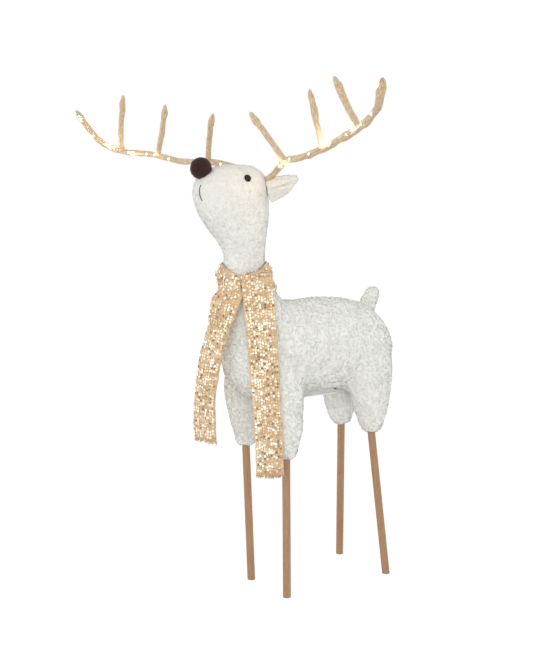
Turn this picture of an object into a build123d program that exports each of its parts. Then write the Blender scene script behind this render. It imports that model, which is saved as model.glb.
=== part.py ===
from build123d import *
from math import cos, pi, radians, sin, tan
import os

# Light up yard reindeer: a fleece deer on four dowel legs, with lit wire antlers and a scarf.
#
# Frame: millimetres, +Z up, floor at Z = 0, nose towards -Y, the deer's left side at +X.
# The origin is on the floor, under the middle of the whole object.


# ---- Driving dimensions -------------------------------------------------------------------

# Body
belly_z = 343.0            # underside of the fleece body above the floor
torso_height = 176.0
torso_width = 136.0
torso_length = 344.0
torso_front_y = -139.5
fleece = 7.0               # thickness of the fleece cover

# Neck and head
neck_length = 97.0         # from the back line up to the jaw line
neck_half_width = 32.0
neck_half_length = 36.0
neck_back_of_chest = 29.5  # middle of the neck behind the front of the chest
neck_seam = 0.6            # share of the neck below the seam of fleece and felt
head_height = 133.0        # from the jaw line up to the crown
head_length = 139.0
head_half_width = 39.0
head_behind_neck = 44.0    # back of the head behind the middle of the neck
felt = 3.5                 # thickness of the head's felt cover

# Legs and haunches
leg_diameter = 14.0
leg_embed = 112.0          # length of dowel above the end of the haunch
# In from the side of the body, back from its front or forward from its rear, and for a
# haunch's end the drop below the belly.
front_foot_in, front_foot_back = 14.0, 82.0
front_haunch_in, front_haunch_back, front_haunch_drop = 8.0, 75.0, 94.0
rear_foot_in, rear_foot_forward = 1.0, 42.0
rear_haunch_in, rear_haunch_forward, rear_haunch_drop = 25.0, 61.0, 78.0

# Neck dowel
neck_rod_diameter = 12.0
neck_rod_below = 95.0      # reach below the back line
neck_rod_above = 75.0      # reach above the jaw line
neck_tilt = 6.0            # degrees forward

# Antlers
frame_wire = 3.2
tine_wire = 2.6
antler_wrap = 8.6          # outside diameter of the wrapped beam
tine_wrap = 8.0
tip_length = 11.0
tip_diameter = 2.6
led_wire = 1.2
led_offset = 3.3           # the light wire runs this far in front of the frame wire
led_bead = 4.4
lamp_runs = range(3, 10)   # runs of the beam, by their first point, with a lamp midway
socket_diameter = 13.0

# Face
eye_diameter = 13.0
eye_before_head_back = 60.0
eye_above_jaw = 109.0
eye_shank = 3.0
eye_shank_length = 15.0
washer_diameter = 13.0
washer_thickness = 1.5
nose_diameter = 35.0
nose_forward = 10.5        # the nose's centre behind the front of the head
nose_below_crown = 8.0
nose_peg_diameter = 5.0
nose_peg_length = 34.0
stitch_diameter = 1.3
ear_length = 59.0
ear_root_width = 46.0
ear_thickness = 6.0

# Tail
tail_root_diameter = 35.0
tail_tip_diameter = 24.0
tail_length = 58.0

# Scarf
scarf_width = 44.0
scarf_thickness = 5.0
scarf_fold = 9.0           # thickness of the folded turn around the neck
scarf_loop_drop = 28.0     # the loop's upper edge below the jaw line
scarf_loop_height = 50.0

# Battery box, door and switch
cell_diameter = 14.2
cell_length = 49.2
cell_nub = 1.0
cell_count = 3
box_wall = 2.0
box_flange = 3.0
box_recess = 1.5           # face of the box above the underside of the fleece
box_before_middle = 10.5   # middle of the box in front of the middle of the body
switch_bay = 19.0
screw_wall = 7.0
hinge_wall = 6.4
spring_length = 6.0
spring_diameter = 7.0
spring_wire = 0.8
spring_turns = 4
contact_plate = 0.5
door_thickness = 2.0
hinge_pin_diameter = 2.0
hinge_barrel = 5.0
hinge_barrel_length = 36.0
screw_diameter = 2.5
screw_length = 6.0
screw_head = 5.0
screw_head_height = 1.2
board_thickness = 1.2
board_height = 10.0        # underside of the circuit board above the face of the box
switch_size = (14.0, 7.0, 5.0)
slider_stem = (3.0, 2.6)
slider_knob = (5.0, 4.0)
slider_travel = 3.0
lead_diameter = 2.6
splice_size = (14.0, 8.0, 6.0)

# Clearances
glue_gap = 0.05            # around pieces glued or pressed into foam
cloth_gap = 0.3            # between soft pieces that lie on each other
felt_ease = 0.25           # extra room that the scarf leaves above the neck seam
door_gap = 0.4
pin_gap = 0.05             # radial, hinge barrel on its pin
screw_gap = 0.45           # radial, lets the screw swing out with the door
slide_gap = 0.2
lamp_gap = 0.25            # between a lamp and the beam wire
thread_gap = 0.15          # around the mouth's thread
swing_gap = 1.1            # hinge end of the door, so that its corner clears the box
washer_room = 2.8          # eye washer behind the inside of the felt
cell_gap = 0.3
cell_side_gap = 0.8        # between neighbouring cells

# ---- Derived places -----------------------------------------------------------------------

SIDES = {"left": 1, "right": -1}
back_z = belly_z + torso_height
jaw_z = back_z + neck_length
crown_z = jaw_z + head_height
seam_z = back_z + neck_seam * neck_length
torso_rear_y = torso_front_y + torso_length
neck_y = torso_front_y + neck_back_of_chest
head_back_y = neck_y + head_behind_neck
head_front_y = head_back_y - head_length
eye_y = head_back_y - eye_before_head_back
body_side = torso_width / 2
front_foot = Vector(body_side - front_foot_in, torso_front_y + front_foot_back, 0)
front_haunch_end = Vector(body_side - front_haunch_in, torso_front_y + front_haunch_back,
                          belly_z - front_haunch_drop)
rear_foot = Vector(body_side - rear_foot_in, torso_rear_y - rear_foot_forward, 0)
rear_haunch_end = Vector(body_side - rear_haunch_in, torso_rear_y - rear_haunch_forward,
                         belly_z - rear_haunch_drop)
box_centre_y = torso_front_y + torso_length / 2 - box_before_middle

box_z = belly_z + box_recess
cell_radius = cell_diameter / 2
cell_pitch = cell_diameter + cell_side_gap
cell_z = box_z + door_thickness + cell_gap + cell_radius
cell_bay = 2 * contact_plate + cell_nub + cell_length + spring_length
box_width = cell_count * cell_pitch + 2 * box_wall + 5
box_height = cell_z + cell_radius + cell_gap + box_wall - box_z
box_length = box_wall + switch_bay + screw_wall + cell_bay + hinge_wall
box_front = box_centre_y - box_length / 2
screw_wall_y = box_front + box_wall + switch_bay
cell_bay_y = screw_wall_y + screw_wall
hinge_wall_y = cell_bay_y + cell_bay
box_rear = hinge_wall_y + hinge_wall
hinge_y = hinge_wall_y + hinge_wall / 2
hinge_z = box_z + hinge_barrel / 2
screw_y = screw_wall_y + screw_wall / 2
switch_y = box_front + box_wall + switch_bay / 2
board_z = box_z + board_height
bay_half_width = box_width / 2 - box_wall


# ---- Helpers ------------------------------------------------------------------------------

def block(x, y, z):
    """A box given by its (low, high) limits along X, Y and Z."""
    size = (x[1] - x[0], y[1] - y[0], z[1] - z[0])
    centre = ((x[0] + x[1]) / 2, (y[0] + y[1]) / 2, (z[0] + z[1]) / 2)
    return Pos(*centre) * Box(*size)


def rod(start, end, radius, end_radius=None):
    """A round bar, or a cone, from one point to another."""
    start, end = Vector(start), Vector(end)
    run = end - start
    plane = Plane(origin=(start + end) * 0.5, z_dir=run)
    if end_radius is None:
        return plane * Cylinder(radius, run.length)
    return plane * Cone(radius, end_radius, run.length)


def route(points):
    """Straight runs joined by tangent arcs, each as large as its two runs allow."""
    points = [Vector(point) for point in points]
    radii = []
    for before, corner, after in zip(points, points[1:], points[2:]):
        run_in, run_out = corner - before, after - corner
        turn = radians(run_in.get_angle(run_out))
        radii.append(0.45 * min(run_in.length, run_out.length) / tan(turn / 2))
    return FilletPolyline(*points, radius=radii)


def tube(path, radius):
    """A round bar swept along a route."""
    plane = Plane(origin=path @ 0, z_dir=path % 0)
    return sweep(plane * Circle(radius), path=path)


def oval(plane, half_u, half_v, fullness):
    """A closed smooth outline: an ellipse at fullness 2, boxier above that."""
    points = []
    count = 16
    for step in range(count):
        u, v = cos(2 * pi * step / count), sin(2 * pi * step / count)
        u_share = abs(u) ** (2 / fullness) * (1 if u > 0 else -1)
        v_share = abs(v) ** (2 / fullness) * (1 if v > 0 else -1)
        points.append(plane.from_local_coords((half_u * u_share, half_v * v_share, 0)))
    return Face(Wire([Edge.make_spline(points, periodic=True)]))


def level_form(sections, inset=0.0, fullness=2.0):
    """A form through level ovals, given as (z, x centre, half width, y front, y back)."""
    faces = []
    for z, x_centre, half_width, y_front, y_back in sections:
        plane = Plane(origin=(x_centre, (y_front + y_back) / 2, z))
        half_length = (y_back - y_front) / 2
        faces.append(oval(plane, half_width - inset, half_length - inset, fullness))
    return loft(faces)


def on_side(point, side):
    """A point given for the deer's left, moved to the left (1) or the right (-1)."""
    return Vector(side * point.X, point.Y, point.Z)


# ---- Outer forms of the body --------------------------------------------------------------

def torso_form(inset=0.0):
    """The barrel of the body, through upright ovals from chest to rump."""
    outline = [  # share of length, share of width, underside and top as shares of the height
        (0.000, 0.30, 0.34, 0.62),
        (0.035, 0.66, 0.16, 0.82),
        (0.100, 0.86, 0.05, 0.95),
        (0.200, 0.97, 0.01, 0.99),
        (0.380, 1.00, 0.00, 0.97),
        (0.580, 1.00, 0.00, 0.98),
        (0.740, 1.00, 0.02, 0.95),
        (0.870, 0.90, 0.08, 0.84),
        (0.955, 0.66, 0.20, 0.64),
        (1.000, 0.30, 0.31, 0.48),
    ]
    faces = []
    half_length = torso_length / 2
    for share, width, low, high in outline:
        y = torso_front_y + half_length + (2 * share - 1) * (half_length - inset)
        z_low = belly_z + low * torso_height + inset
        z_high = belly_z + high * torso_height - inset
        plane = Plane(origin=(0, y, (z_low + z_high) / 2), x_dir=(1, 0, 0), z_dir=(0, 1, 0))
        faces.append(oval(plane, width * torso_width / 2 - inset, (z_high - z_low) / 2, 2.0))
    return loft(faces)


def neck_form(inset=0.0):
    """The fleece neck, which flares down into the body and ends at the seam."""
    front, back = neck_y - neck_half_length, neck_y + neck_half_length
    sections = [
        (back_z - 75, 0, neck_half_width + 24, front + 9, back + 66),
        (back_z - 15, 0, neck_half_width + 14, front + 1, back + 44),
        (back_z + 0.5 * neck_seam * neck_length, 0, neck_half_width + 4, front - 1, back + 14),
        (seam_z, 0, neck_half_width, front, back),
    ]
    return level_form(sections, inset)


def head_form(inset=0.0):
    """The felt neck and head, from the seam up to the crown."""
    front, back, half = head_front_y, head_back_y, head_half_width
    sections = [
        (seam_z, 0, neck_half_width, neck_y - neck_half_length, neck_y + neck_half_length),
        (jaw_z, 0, neck_half_width + 3, neck_y - neck_half_length - 7, back - 7),
        (jaw_z + 0.22 * head_height, 0, half - 1, front + 27, back - 3),
        (jaw_z + 0.44 * head_height, 0, half, front + 7, back),
        (jaw_z + 0.66 * head_height, 0, half, front, back),
        (jaw_z + 0.85 * head_height, 0, half - 6, front + 9, back - 6),
        (jaw_z + 0.95 * head_height, 0, half - 16, front + 28, back - 20),
        (crown_z - inset, 0, half - 29, front + 52, back - 42),
    ]
    return level_form(sections, inset, 2.3)


LEGS = {
    "front": {
        "foot": front_foot,
        "end": front_haunch_end,
        "lean": (-0.094, -0.044),  # drift of the haunch's middle per millimetre of height
        "girth": [  # height above the haunch's end, half width, half length
            (0, 10, 10), (3, 14, 14), (15, 20, 20), (43, 27, 30), (73, 31, 38),
            (103, 30, 45), (133, 25, 45), (158, 16, 37),
        ],
    },
    "rear": {
        "foot": rear_foot,
        "end": rear_haunch_end,
        "lean": (-0.059, -0.026),
        "girth": [
            (0, 10, 10), (3, 14.5, 14.5), (15, 21, 21), (43, 29, 31), (73, 34, 42),
            (103, 37, 48), (138, 34, 49), (170, 23, 40),
        ],
    },
}


def haunch_form(leg, side, inset=0.0):
    """The fleece sleeve at the top of a leg, with its upper end inside the body."""
    end, lean = leg["end"], leg["lean"]
    sections = []
    for rise, half_width, half_length in leg["girth"]:
        x = side * (end.X + lean[0] * rise)
        y = end.Y + lean[1] * rise
        sections.append((end.Z + rise, x, half_width, y - half_length, y + half_length))
    return level_form(sections, inset)


def haunch_inside(leg, side):
    """The room inside a haunch's sleeve, closed at its lower end."""
    form = haunch_form(leg, side, fleece)
    floor = leg["end"].Z + fleece
    return form & block((-200, 200), (-300, 300), (floor, floor + 400))


# ---- Legs ---------------------------------------------------------------------------------

def leg_dowel(leg, side, gap=0.0):
    """A splayed dowel, cut level at the floor, with its top hidden in the foam."""
    foot, end = leg["foot"], leg["end"]
    run = (end - foot).normalized()
    top = end + run * leg_embed
    low = foot - run * leg_diameter
    bar = rod(on_side(low, side), on_side(top, side), leg_diameter / 2 + gap)
    return bar & block((-300, 300), (-400, 400), (0, 2000))


# ---- Neck dowel ---------------------------------------------------------------------------

def neck_rod(gap=0.0):
    """The dowel that joins the foam of the body to the foam of the head."""
    low, high = back_z - neck_rod_below - gap, jaw_z + neck_rod_above + gap
    slope = tan(radians(neck_tilt))
    start = (0, neck_y - slope * (low - seam_z), low)
    finish = (0, neck_y - slope * (high - seam_z), high)
    return rod(start, finish, neck_rod_diameter / 2 + gap)


rod_top_z = jaw_z + neck_rod_above
rod_top_y = neck_y - tan(radians(neck_tilt)) * (rod_top_z - seam_z)

# ---- Antlers ------------------------------------------------------------------------------

# The beam bends by hand, so its two sides differ a little: x, y behind the back of the head,
# and height above the root on the left and on the right.
antler_root_z = crown_z - 46
beam_points = [
    (8, -26, 0, 0),
    (20, -14, 18, 18),
    (42, -6, 34, 34),
    (64, -15, 42, 42),
    (111, -44.5, 50, 53),
    (172, -55, 54, 50),
    (240, -68.5, 64, 65),
    (292, -78, 77, 69),
    (343, -86.5, 91, 73),
    (388, -105, 102, 88),
    (417, -117.5, 114, 119),
    (430, -124.5, 134, 136),
    (440, -130, 150, 152),
]
first_wrapped = 1          # the beam is bare below this point, inside its socket
forks = [4, 6, 8]          # points where a tine leaves the beam
tine_tips = [
    (55, -68.5, 127, 130),
    (210, -69.5, 153, 153),
    (306, -101.5, 163, 174),
]


def antler_point(point, side, forward=0.0):
    """One antler point on the given side, moved forward (towards -Y) when asked."""
    x, y, left_rise, right_rise = point
    rise = left_rise if side > 0 else right_rise
    return Vector(side * x, head_back_y + y - forward, antler_root_z + rise)


def beam_route(side, forward=0.0, first=0):
    return route([antler_point(point, side, forward) for point in beam_points[first:]])


def nearest_on(path, point):
    """The place on a route that lies closest to a point."""
    samples = [path.position_at(step / 400) for step in range(401)]
    return min(samples, key=lambda place: (place - point).length)


def tine_axis(side, index):
    corner = antler_point(beam_points[forks[index]], side)
    return nearest_on(beam_route(side), corner), antler_point(tine_tips[index], side)


def wrapped_tip(point, direction, diameter):
    """The pointed end of a wrapped wire."""
    return rod(point, point + direction * tip_length, diameter / 2, tip_diameter / 2)


def antler_frame(side):
    """Beam wire with its three welded tine wires."""
    frame = tube(beam_route(side), frame_wire / 2)
    for index in range(len(forks)):
        start, tip = tine_axis(side, index)
        run = (tip - start).normalized()
        frame += rod(start, tip - run * tip_length, tine_wire / 2)
    return frame


def beam_envelope(side, extra=0.0):
    path = beam_route(side, first=first_wrapped)
    end = path @ 1
    shape = tube(path, antler_wrap / 2 + extra)
    return shape + wrapped_tip(end, path % 1, antler_wrap)


def tine_envelope(side, index):
    start, tip = tine_axis(side, index)
    run = (tip - start).normalized()
    shoulder = tip - run * tip_length
    return rod(start, shoulder, tine_wrap / 2) + wrapped_tip(shoulder, run, tine_wrap)


splice_z = rod_top_z + 2
splice_top = splice_z + splice_size[2]


def led_route(side):
    """From the splice in the head, along the front of the beam wire."""
    start = Vector(side * splice_size[0] / 4, rod_top_y, splice_top)
    along = [antler_point(point, side, led_offset) for point in beam_points]
    return route([start] + along)


def led_lamps(side):
    """Middle, wire's place, run and outward direction of each lamp on the light wire."""
    lamps = []
    for first in lamp_runs:
        start = antler_point(beam_points[first], side)
        end = antler_point(beam_points[first + 1], side)
        run = (end - start).normalized()
        middle = (start + end) / 2
        ahead = Vector(0, -led_offset, 0)
        outward = (ahead - run * ahead.dot(run)).normalized()
        centre = middle + outward * (frame_wire / 2 + lamp_gap + led_bead / 2)
        lamps.append((centre, middle + ahead, run, outward))
    return lamps


def led_beads(side, gap=0.0):
    """Lamps cast on the light wire; each shows through the front of the wrap."""
    beads = []
    for centre, place, run, outward in led_lamps(side):
        across = run.cross(outward)
        bead = Plane(origin=centre, x_dir=across, z_dir=outward) * Sphere(led_bead / 2 + gap)
        if not gap:
            reach = run * led_bead * 1.5
            bead -= rod(place - reach, place + reach, led_wire / 2 + glue_gap)
        beads.append(bead)
    return beads


def antler_socket(side):
    """Plastic ferrule in the head's foam around the bare end of the beam."""
    start = antler_point(beam_points[0], side)
    end = antler_point(beam_points[first_wrapped], side)
    return rod(start, end, socket_diameter / 2)


# ---- Face ---------------------------------------------------------------------------------

eye_z = jaw_z + eye_above_jaw
eye_x = head_half_width - 5.5
nose_centre = Vector(0, head_front_y + nose_forward, crown_z - nose_below_crown)
nose_peg_run = Vector(0, 0.91, -0.42)


def eye(side):
    dome = Pos(side * eye_x, eye_y, eye_z) * Sphere(eye_diameter / 2)
    dome -= head_form(-cloth_gap)
    inner_end = (side * (eye_x - eye_shank_length), eye_y, eye_z)
    outer_end = (side * (eye_x + eye_diameter / 2 - eye_shank / 2), eye_y, eye_z)
    shank = rod(outer_end, inner_end, eye_shank / 2)
    return dome + shank


def eye_washer(side):
    """Locking washer on the eye's shank, behind the felt."""
    outer = side * (eye_x - felt - washer_room)
    inner = outer - side * washer_thickness
    ring = rod((outer, eye_y, eye_z), (inner, eye_y, eye_z), washer_diameter / 2)
    bore = rod((outer, eye_y, eye_z), (inner, eye_y, eye_z), eye_shank / 2)
    return ring - bore


def eye_pocket(side):
    outer = side * (eye_x + eye_diameter / 2)
    inner = side * (eye_x - felt - washer_room - washer_thickness)
    end = side * (eye_x - eye_shank_length - glue_gap)
    pocket = rod((outer, eye_y, eye_z), (inner, eye_y, eye_z), washer_diameter / 2 + glue_gap)
    return pocket + rod((outer, eye_y, eye_z), (end, eye_y, eye_z), eye_shank / 2 + glue_gap)


def nose_peg(gap=0.0):
    end = nose_centre + nose_peg_run.normalized() * (nose_peg_length + gap)
    return rod(nose_centre, end, nose_peg_diameter / 2 + gap)


def mouth_stitch(gap=0.0):
    """One curved thread below the nose, half sunk in the felt."""
    top = Vector(10.8, head_front_y + 3.4, jaw_z + 99)
    middle = Vector(9.6, head_front_y + 1.2, jaw_z + 86)
    low = Vector(13.2, head_front_y + 4.1, jaw_z + 73)
    return tube(Edge.make_three_point_arc(top, middle, low), stitch_diameter / 2 + gap)


def ear(side):
    """A thick felt leaf that points outward and back."""
    root = Vector(side * 24, head_back_y - 16, jaw_z + 90.5)
    along = Vector(side * 0.66, 0.68, 0.33).normalized()
    up = Vector(0, 0, 1)
    across = (up - along * up.dot(along)).normalized()
    plane = Plane(origin=root, x_dir=along, z_dir=along.cross(across))
    half = ear_root_width / 2
    upper, lower = (0.88 * ear_length, 0.36 * half), (0.88 * ear_length, -0.3 * half)
    outline = Polyline((0, -half), (0, half), upper)
    outline += ThreePointArc(upper, (ear_length, 0), lower)
    outline += ThreePointArc(lower, (0.5 * ear_length, -0.86 * half), (0, -half))
    return plane * extrude(make_face(outline), ear_thickness / 2, both=True)


def tail_form():
    """The short raised tail."""
    root = Vector(0, torso_front_y + 0.86 * torso_length, back_z - 44)
    run = Vector(0, 0.5, 0.87).normalized()
    tip_radius = tail_tip_diameter / 2
    end = root + run * (tail_length - tip_radius)
    return rod(root, end, tail_root_diameter / 2, tip_radius) + Pos(*end) * Sphere(tip_radius)


# ---- Scarf --------------------------------------------------------------------------------

near_tail = [  # middle line of the end on the left: x, y, z, and the turn of its face
    (neck_half_width + 9, neck_y - 3, jaw_z - 28, 70),
    (neck_half_width + 14, neck_y - 4, jaw_z - 56, 68),
    (body_side - 7, neck_y - 7, jaw_z - 101, 66),
    (body_side - 1, neck_y - 8, jaw_z - 156, 64),
    (body_side + 8, neck_y - 7, jaw_z - 261, 60),
    (body_side + 3, neck_y + 1, jaw_z - 330, 60),
    (body_side - 1, neck_y + 7, jaw_z - 387, 60),
]
far_tail = [  # the end that falls over the chest
    (13, neck_y - 43, jaw_z - 50, 18),
    (9, neck_y - 48, jaw_z - 106, 20),
    (-5, neck_y - 55, jaw_z - 156, 22),
    (-15, neck_y - 61, jaw_z - 206, 24),
    (-22, neck_y - 66, jaw_z - 263, 24),
    (-26, neck_y - 64, jaw_z - 334, 24),
]


def scarf_end(points):
    """A flat strip along its middle line, drawn as rectangles joined by straight walls."""
    faces = []
    for x, y, z, turn in points:
        plane = Plane(origin=(x, y, z)).rotated((0, 0, turn))
        faces.append(plane * Rectangle(scarf_width, scarf_thickness))
    return loft(faces, ruled=True)


def scarf_turn():
    """The outside of the folded turn around the neck, as a solid."""
    top = jaw_z - scarf_loop_drop
    half = neck_half_width + cloth_gap + scarf_fold
    front = neck_y - neck_half_length - cloth_gap - scarf_fold
    back = neck_y + neck_half_length + cloth_gap + scarf_fold
    sections = [
        (top - scarf_loop_height, 0, half + 3, front - 1, back + 8),
        (top - 0.6 * scarf_loop_height, 0, half + 3, front - 2, back + 5),
        (top - 0.3 * scarf_loop_height, 0, half + 2, front - 2, back + 2),
        (top, 0, half - 1, front - 1, back - 3),
    ]
    return level_form(sections)


def scarf():
    """One strip: a turn around the neck and its two hanging ends."""
    whole = scarf_turn() + scarf_end(near_tail) + scarf_end(far_tail)
    whole = whole - neck_form(-cloth_gap) - head_form(-cloth_gap - felt_ease)
    return whole - torso_form(-cloth_gap)


# ---- Battery box --------------------------------------------------------------------------

slot_half = slider_stem[0] / 2 + slider_travel + slide_gap


def battery_box():
    """Tray that opens downward: a cell bay behind a door, and a bay for the switch."""
    half = box_width / 2
    box = block((-half, half), (box_front, box_rear), (box_z, box_z + box_height))
    box += block((-half - box_flange, half + box_flange),
                 (box_front - box_flange, box_rear + box_flange), (box_z, box_z + box_wall))
    inside = (-bay_half_width, bay_half_width)
    door_top = box_z + door_thickness
    box -= block(inside, (cell_bay_y, hinge_wall_y), (box_z, cell_z + cell_radius + cell_gap))
    box -= block(inside, (screw_wall_y, cell_bay_y), (box_z, door_top + cell_gap))
    box -= block(inside, (box_front + box_wall, screw_wall_y),
                 (box_z + box_wall, box_z + box_height))
    notch = hinge_barrel_length / 2 + door_gap
    box -= block((-notch, notch), (hinge_wall_y, hinge_y + hinge_barrel / 2 + door_gap),
                 (box_z, box_z + hinge_barrel + door_gap))
    box -= hinge_pin()
    box -= rod((0, screw_y, box_z), (0, screw_y, box_z + screw_head_height + screw_length + 1),
               screw_diameter / 2 + screw_gap)
    box -= block((-slot_half, slot_half),
                 (switch_y - slider_stem[1] / 2 - slide_gap, switch_y + slider_stem[1] / 2 + slide_gap),
                 (box_z, box_z + box_wall))
    for x in (-1, 1):
        for y in (-1, 1):
            post_x = x * (bay_half_width - 3)
            post_y = switch_y + y * (switch_bay / 2 - 3)
            box += rod((post_x, post_y, box_z + box_wall), (post_x, post_y, board_z), 2)
    return box


def hinge_pin(gap=0.0):
    reach = hinge_barrel_length / 2 + 5.5
    return rod((-reach, hinge_y, hinge_z), (reach, hinge_y, hinge_z), hinge_pin_diameter / 2 + gap)


def battery_door():
    """Door over the cells; its barrel turns on the pin and its screw holds the other end."""
    half = bay_half_width - door_gap
    barrel = hinge_barrel_length / 2
    levels = (box_z, box_z + door_thickness)
    door_end = hinge_wall_y - swing_gap
    door = block((-half, half), (screw_wall_y + door_gap, door_end), levels)
    door += block((-barrel, barrel), (door_end, hinge_y), levels)
    door += rod((-barrel, hinge_y, hinge_z), (barrel, hinge_y, hinge_z), hinge_barrel / 2)
    door -= hinge_pin(pin_gap)
    door -= door_screw()
    return door


def door_screw():
    shoulder = box_z + screw_head_height
    head = rod((0, screw_y, box_z), (0, screw_y, shoulder), screw_head / 2)
    return head + rod((0, screw_y, shoulder), (0, screw_y, shoulder + screw_length), screw_diameter / 2)


def cell_parts():
    """Cells in series: every second one is turned round, with its spring at the other end."""
    cells, springs, plates = [], [], []
    for number in range(cell_count):
        x = (number - (cell_count - 1) / 2) * cell_pitch
        turned = number % 2 == 1
        start = cell_bay_y + contact_plate
        cell_start = start + (spring_length if turned else cell_nub)
        cell_end = cell_start + cell_length
        cell = rod((x, cell_start, cell_z), (x, cell_end, cell_z), cell_radius)
        nub_y = cell_end if turned else start
        cell += rod((x, nub_y, cell_z), (x, nub_y + cell_nub, cell_z), 2.7)
        cells.append(cell)
        spring_y = start if turned else cell_end
        coil = Helix(pitch=(spring_length - spring_wire) / spring_turns,
                     height=spring_length - spring_wire, radius=spring_diameter / 2)
        wire = tube(coil, spring_wire / 2)
        springs.append(Pos(x, spring_y + spring_wire / 2, cell_z) * Rot(-90, 0, 0) * wire)
        for y in (cell_bay_y, hinge_wall_y - contact_plate):
            plates.append(block((x - 5, x + 5), (y, y + contact_plate), (cell_z - 2.6, cell_z + 5)))
    return cells, springs, plates


def circuit_board():
    half_x, half_y = bay_half_width - slide_gap, switch_bay / 2 - slide_gap
    board = block((-half_x, half_x), (switch_y - half_y, switch_y + half_y),
                  (board_z, board_z + board_thickness))
    top = board_z + board_thickness
    board += block((-14, -8), (switch_y - 3, switch_y + 3), (top, top + 1.6))
    board += rod((-19, switch_y, top), (-19, switch_y, top + 5), 2.5)
    return board


def switch_body():
    x, y, z = switch_size
    body = block((-x / 2, x / 2), (switch_y - y / 2, switch_y + y / 2), (board_z - z, board_z))
    room_y = slider_stem[1] / 2 + slide_gap
    body -= block((-slot_half, slot_half), (switch_y - room_y, switch_y + room_y),
                  (board_z - z, board_z - z + 2.5))
    return body


def switch_slider():
    stem_x, stem_y = slider_stem[0] / 2, slider_stem[1] / 2
    knob_x, knob_y = slider_knob[0] / 2, slider_knob[1] / 2
    seat = board_z - switch_size[2] + 2.5 - slide_gap
    slider = block((-stem_x, stem_x), (switch_y - stem_y, switch_y + stem_y), (box_z - slide_gap, seat))
    return slider + block((-knob_x, knob_x), (switch_y - knob_y, switch_y + knob_y),
                          (box_z - slide_gap - 1.1, box_z - slide_gap))


def lead_route():
    """From the circuit board up beside the neck dowel to the splice in the head."""
    side_x = neck_rod_diameter / 2 + 6
    return route([
        (side_x, switch_y, board_z + board_thickness),
        (side_x, switch_y, belly_z + 48),
        (side_x + 1, switch_y - 46, back_z - 60),
        (side_x + 2, neck_y + 12, back_z),
        (side_x + 1, neck_y - 1, jaw_z - 30),
        (side_x, neck_y + 1, jaw_z + 28),
        (side_x - 7, rod_top_y + 9, rod_top_z - 12),
        (side_x - 9, rod_top_y + 9, splice_z + splice_size[2] / 2),
    ])


def led_splice():
    x, y, z = splice_size
    return block((-x / 2, x / 2), (rod_top_y - y / 2, rod_top_y + y / 2), (splice_z, splice_z + z))


# ---- Assembly -----------------------------------------------------------------------------

parts = {}

head_outer = head_form()
body_outer = torso_form() + neck_form()
body_foam = torso_form(fleece) + neck_form(fleece)
head_foam = head_form(felt)

box_pocket = block((-box_width / 2, box_width / 2), (box_front, box_rear),
                   (belly_z - 5, box_z + box_height))
flange_gap = box_flange + cloth_gap
flange_pocket = block((-box_width / 2 - flange_gap, box_width / 2 + flange_gap),
                      (box_front - flange_gap, box_rear + flange_gap),
                      (belly_z - 20, box_z + box_wall))
flange_opening = block((-box_width / 2 - flange_gap, box_width / 2 + flange_gap),
                       (box_front - flange_gap, box_rear + flange_gap),
                       (belly_z - 20, belly_z + 25))

lead = tube(lead_route(), lead_diameter / 2)
lead_channel = tube(lead_route(), lead_diameter / 2 + glue_gap)
splice = led_splice()

torso_core = body_foam - neck_rod(glue_gap) - box_pocket - flange_pocket - lead_channel
torso_cover = body_outer - body_foam - flange_opening

for end, leg in LEGS.items():
    inside = haunch_inside(leg, 1)
    dowel = leg_dowel(leg, 1)
    bore = leg_dowel(leg, 1, glue_gap)
    filling = inside - body_outer - bore
    sleeve = haunch_form(leg, 1) - body_outer - inside - bore
    torso_core = torso_core - bore - mirror(bore, Plane.YZ)
    torso_cover = torso_cover - bore - mirror(bore, Plane.YZ)
    for piece, shape in (("leg", dowel), ("haunch_filling", filling), ("haunch_cover", sleeve)):
        parts[f"{piece}_{end}_left"] = shape
        parts[f"{piece}_{end}_right"] = mirror(shape, Plane.YZ)

parts["torso_core"] = torso_core
parts["torso_cover"] = torso_cover
parts["neck_rod"] = neck_rod()

head_core = head_foam - neck_rod(glue_gap) - lead_channel - splice - nose_peg(glue_gap)
head_cover = head_outer - head_foam - nose_peg(glue_gap)

parts["mouth_stitch"] = mouth_stitch()
head_cover -= mouth_stitch(thread_gap)

nose = Pos(*nose_centre) * Sphere(nose_diameter / 2)
parts["nose"] = nose - head_outer - nose_peg()
parts["nose_peg"] = nose_peg()

washers = []
for name, side in SIDES.items():
    parts[f"eye_{name}"] = eye(side)
    washers.append(eye_washer(side))
    head_core -= eye_pocket(side)
    head_cover -= rod((side * (eye_x + eye_diameter / 2), eye_y, eye_z),
                      (side * (eye_x - eye_shank_length), eye_y, eye_z),
                      eye_shank / 2 + glue_gap)
parts["eye_washers"] = Compound(washers)

sockets = []
for name, side in SIDES.items():
    frame = antler_frame(side)
    light_wire = tube(led_route(side), led_wire / 2) - splice
    wire_room = tube(led_route(side), led_wire / 2 + glue_gap)
    beam = beam_envelope(side)
    socket = antler_socket(side)
    socket_bore = rod(antler_point(beam_points[0], side),
                      antler_point(beam_points[first_wrapped], side), socket_diameter / 2 + glue_gap)
    parts[f"antler_frame_{name}"] = frame
    parts[f"led_wire_{name}"] = light_wire
    parts[f"led_beads_{name}"] = Compound(led_beads(side))
    wrap = beam - frame - wire_room - socket_bore
    for pocket in led_beads(side, glue_gap):
        wrap -= pocket
    wrap_extra = beam_envelope(side, cloth_gap)
    parts[f"antler_wrap_{name}"] = wrap
    for index in range(len(forks)):
        tine = tine_envelope(side, index) - beam - frame - wire_room
        parts[f"tine_wrap_{name}_{index + 1}"] = tine
    sockets.append(socket - frame - light_wire)
    head_core = head_core - socket_bore - frame - light_wire - wrap_extra
    head_cover = head_cover - socket_bore - wrap_extra - frame
    parts[f"ear_{name}"] = ear(side) - head_outer - wrap_extra - socket_bore
parts["antler_sockets"] = Compound(sockets)

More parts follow.
